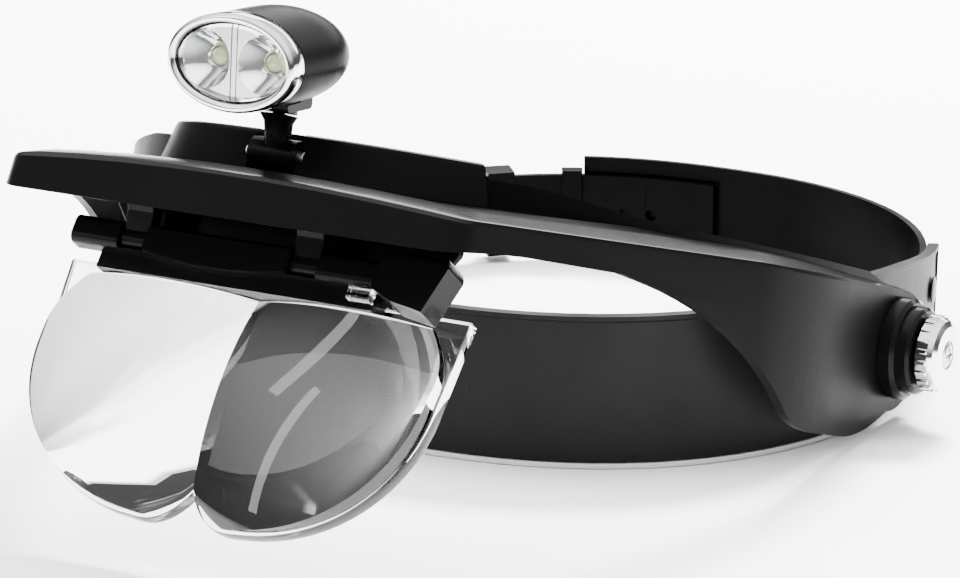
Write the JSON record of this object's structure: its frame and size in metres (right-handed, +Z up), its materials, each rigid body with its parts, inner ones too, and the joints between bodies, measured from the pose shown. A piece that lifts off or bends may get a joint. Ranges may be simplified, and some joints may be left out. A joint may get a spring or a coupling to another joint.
{
  "type": "head visor magnifier",
  "caption": "Hands-free magnifier: a tilting visor with a flip-down binocular lens plate and a swivelling battery lamp, on an adjustable headband.",
  "frame": {"origin": "middle of the whole object's box, on the surface that the headband's lower edge stands on", "axes": "+Z up; the wearer faces -Y, so the lens and lamp are at -Y and the rear strap at +Y; +X is the wearer's left"},
  "size_m": [0.2274, 0.2866, 0.1265],
  "materials": {
    "moulded_black": "fine satin moulding",
    "gloss_black": "polished black moulding",
    "lamp_grey": "dark grey, smooth satin gloss",
    "pale_trim": "soft pale grey edging",
    "pad_foam": "dark knitted cover over foam",
    "knob_chrome": "bright chrome",
    "steel": "plain steel",
    "metallised": "bright vacuum-metallised plastic",
    "clear_acrylic": "clear polished acrylic",
    "led_lens": "yellow resin under clear dome",
    "board_green": "green solder mask"
  },
  "bodies": {
    "headband": {"forehead_band": "moulded_black", "band_edge_trim": "pale_trim", "forehead_pad": "pad_foam", "rear_strap_wide": "moulded_black", "rear_strap_narrow": "moulded_black", "strap_guide_loop": "moulded_black", "size_lock_housing": "moulded_black", "size_lock_spring": "steel", "strap_rivet_left_1": "gloss_black", "strap_rivet_left_2": "gloss_black", "strap_rivet_right_1": "gloss_black", "strap_rivet_right_2": "gloss_black", "pivot_bolt_left": "steel", "pivot_bolt_right": "steel", "temple_bush_left": "gloss_black", "temple_bush_right": "gloss_black"},
    "lock_button": {"size_lock_button": "gloss_black"},
    "visor": {"visor_shell": "moulded_black", "pivot_collar_left": "gloss_black", "pivot_collar_right": "gloss_black", "hinge_lug_left": "gloss_black", "hinge_lug_right": "gloss_black", "hinge_pin_left": "steel", "hinge_pin_right": "steel", "hinge_bracket": "moulded_black", "lamp_foot_pin": "steel"},
    "knob_left": {"tension_knob_left": "knob_chrome", "knob_screw_left": "steel"},
    "knob_right": {"tension_knob_right": "knob_chrome", "knob_screw_right": "steel"},
    "lens_holder": {"lens_bar": "gloss_black", "bar_end_block": "gloss_black", "lens_catch": "clear_acrylic", "lens_clamp_strip": "gloss_black", "clamp_screw_left": "steel", "clamp_screw_right": "steel", "lens_plate": "clear_acrylic"},
    "lamp_arm": {"lamp_stem": "gloss_black"},
    "lamp_head": {"lamp_housing": "lamp_grey", "lamp_bezel": "metallised", "lamp_window": "clear_acrylic", "reflector_left": "metallised", "reflector_right": "metallised", "reflector_divider": "metallised", "led_left": "led_lens", "led_right": "led_lens", "circuit_board": "board_green", "battery_cell_1": "steel", "battery_cell_2": "steel", "battery_cell_3": "steel", "contact_spring": "steel", "lamp_clip": "gloss_black"},
    "lamp_switch": {"lamp_switch_button": "gloss_black"}
  },
  "joints": [
    {"name": "visor_tilt", "type": "hinge", "parent": "headband", "child": "visor", "pos_m": [0, 0.03781, 0.02], "axis": [-1, 0, 0], "range_deg": [-20, 50]},
    {"name": "knob_left_turn", "type": "hinge", "parent": "headband", "child": "knob_left", "pos_m": [0, 0.03781, 0.02], "axis": [1, 0, 0], "continuous": true},
    {"name": "knob_right_turn", "type": "hinge", "parent": "headband", "child": "knob_right", "pos_m": [0, 0.03781, 0.02], "axis": [-1, 0, 0], "continuous": true},
    {"name": "lens_flip", "type": "hinge", "parent": "visor", "child": "lens_holder", "pos_m": [0, -0.10627, 0.06538], "axis": [-1, 0, 0], "range_deg": [-10, 64]},
    {"name": "lamp_tilt", "type": "hinge", "parent": "visor", "child": "lamp_arm", "pos_m": [0, -0.09907, 0.08934], "axis": [-1, 0, 0], "range_deg": [-25, 25]},
    {"name": "lamp_swivel", "type": "hinge", "parent": "lamp_arm", "child": "lamp_head", "pos_m": [0, -0.09787, 0.09898], "axis": [0, 0.3256, 0.9455], "range_deg": [-60, 60]},
    {"name": "size_lock_press", "type": "slide", "parent": "headband", "child": "lock_button", "axis": [0.6716, -0.7409, 0], "range_m": [0, 0.0015], "stiffness_N_per_m": 500},
    {"name": "lamp_switch_press", "type": "slide", "parent": "lamp_head", "child": "lamp_switch", "axis": [0, -0.9956, 0.0941], "range_m": [0, 0.0008], "stiffness_N_per_m": 800}
  ]
}
